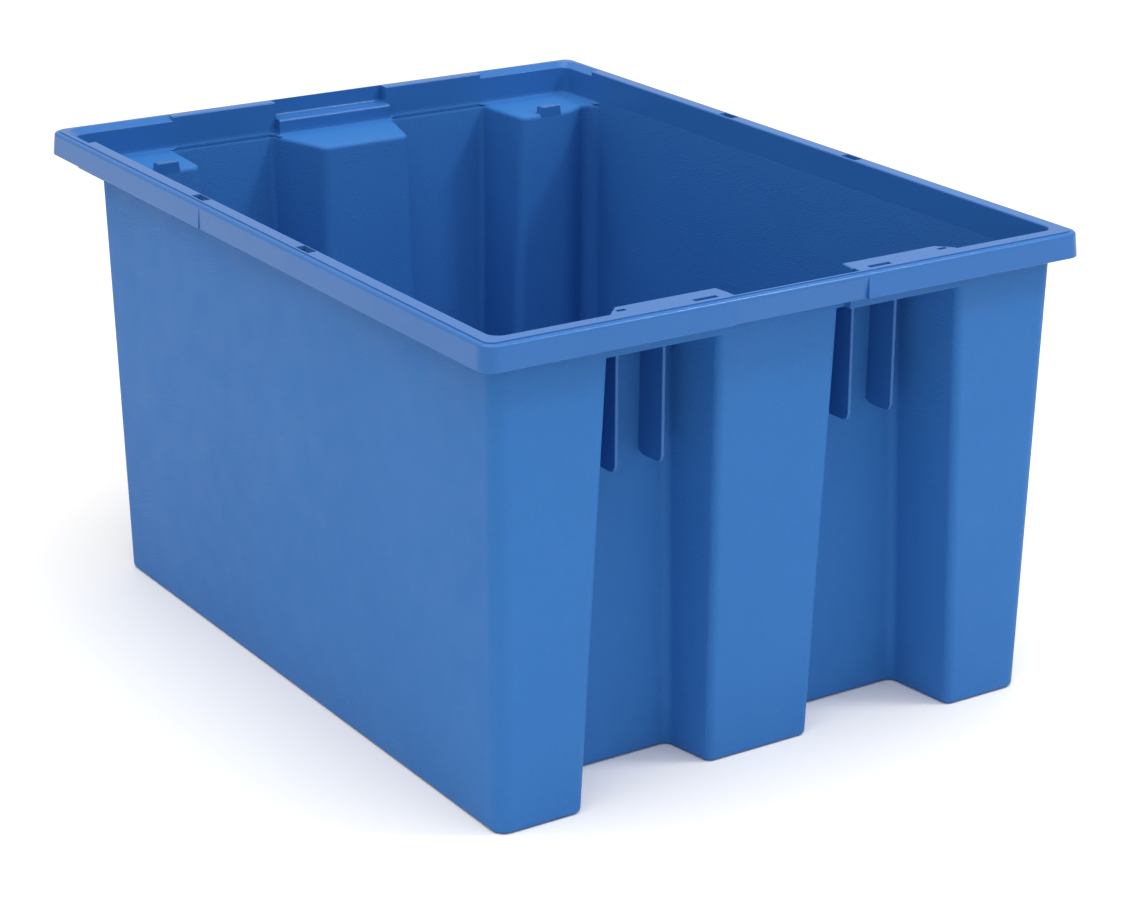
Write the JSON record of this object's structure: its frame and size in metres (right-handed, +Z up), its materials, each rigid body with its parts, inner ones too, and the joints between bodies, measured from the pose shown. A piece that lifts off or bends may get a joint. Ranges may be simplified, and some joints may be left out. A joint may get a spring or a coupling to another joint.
{
  "type": "stackable storage bin",
  "caption": "Open-topped rectangular stack-and-nest bin with tapered walls, end columns, stacking ledges and a turned-down rim.",
  "frame": {"origin": "centre of the footprint on the floor, at the underside of the base", "axes": "+Z up out of the open top, +X along the length towards the end with two outside recesses and two rim tabs, +Y across the width"},
  "size_m": [0.5994, 0.4454, 0.318],
  "materials": {
    "body_plastic": "fine-grain moulded polyethylene, matte",
    "rim_plastic": "smoother moulded polyethylene, low sheen"
  },
  "bodies": {
    "root": {"far_left_column": "body_plastic", "far_left_corner_ledge": "body_plastic", "far_left_corner_post": "body_plastic", "far_left_locking_lug": "body_plastic", "far_left_rim": "rim_plastic", "far_middle_ledge": "body_plastic", "far_middle_pilaster": "body_plastic", "far_middle_shelf": "rim_plastic", "far_right_column": "body_plastic", "far_right_corner_ledge": "body_plastic", "far_right_corner_post": "body_plastic", "far_right_locking_lug": "body_plastic", "far_right_rim": "rim_plastic", "floor_panel": "body_plastic", "left_side_rim": "rim_plastic", "left_side_wall": "body_plastic", "near_left_column": "body_plastic", "near_left_inner_stop_rib": "body_plastic", "near_left_ledge": "body_plastic", "near_left_outer_stop_rib": "body_plastic", "near_left_recess_panel": "body_plastic", "near_left_rim": "rim_plastic", "near_left_rim_tab": "rim_plastic", "near_middle_column": "body_plastic", "near_middle_shelf": "rim_plastic", "near_right_column": "body_plastic", "near_right_inner_stop_rib": "body_plastic", "near_right_ledge": "body_plastic", "near_right_outer_stop_rib": "body_plastic", "near_right_recess_panel": "body_plastic", "near_right_rim": "rim_plastic", "near_right_rim_tab": "rim_plastic", "right_side_rim": "rim_plastic", "right_side_wall": "body_plastic"}
  },
  "joints": []
}
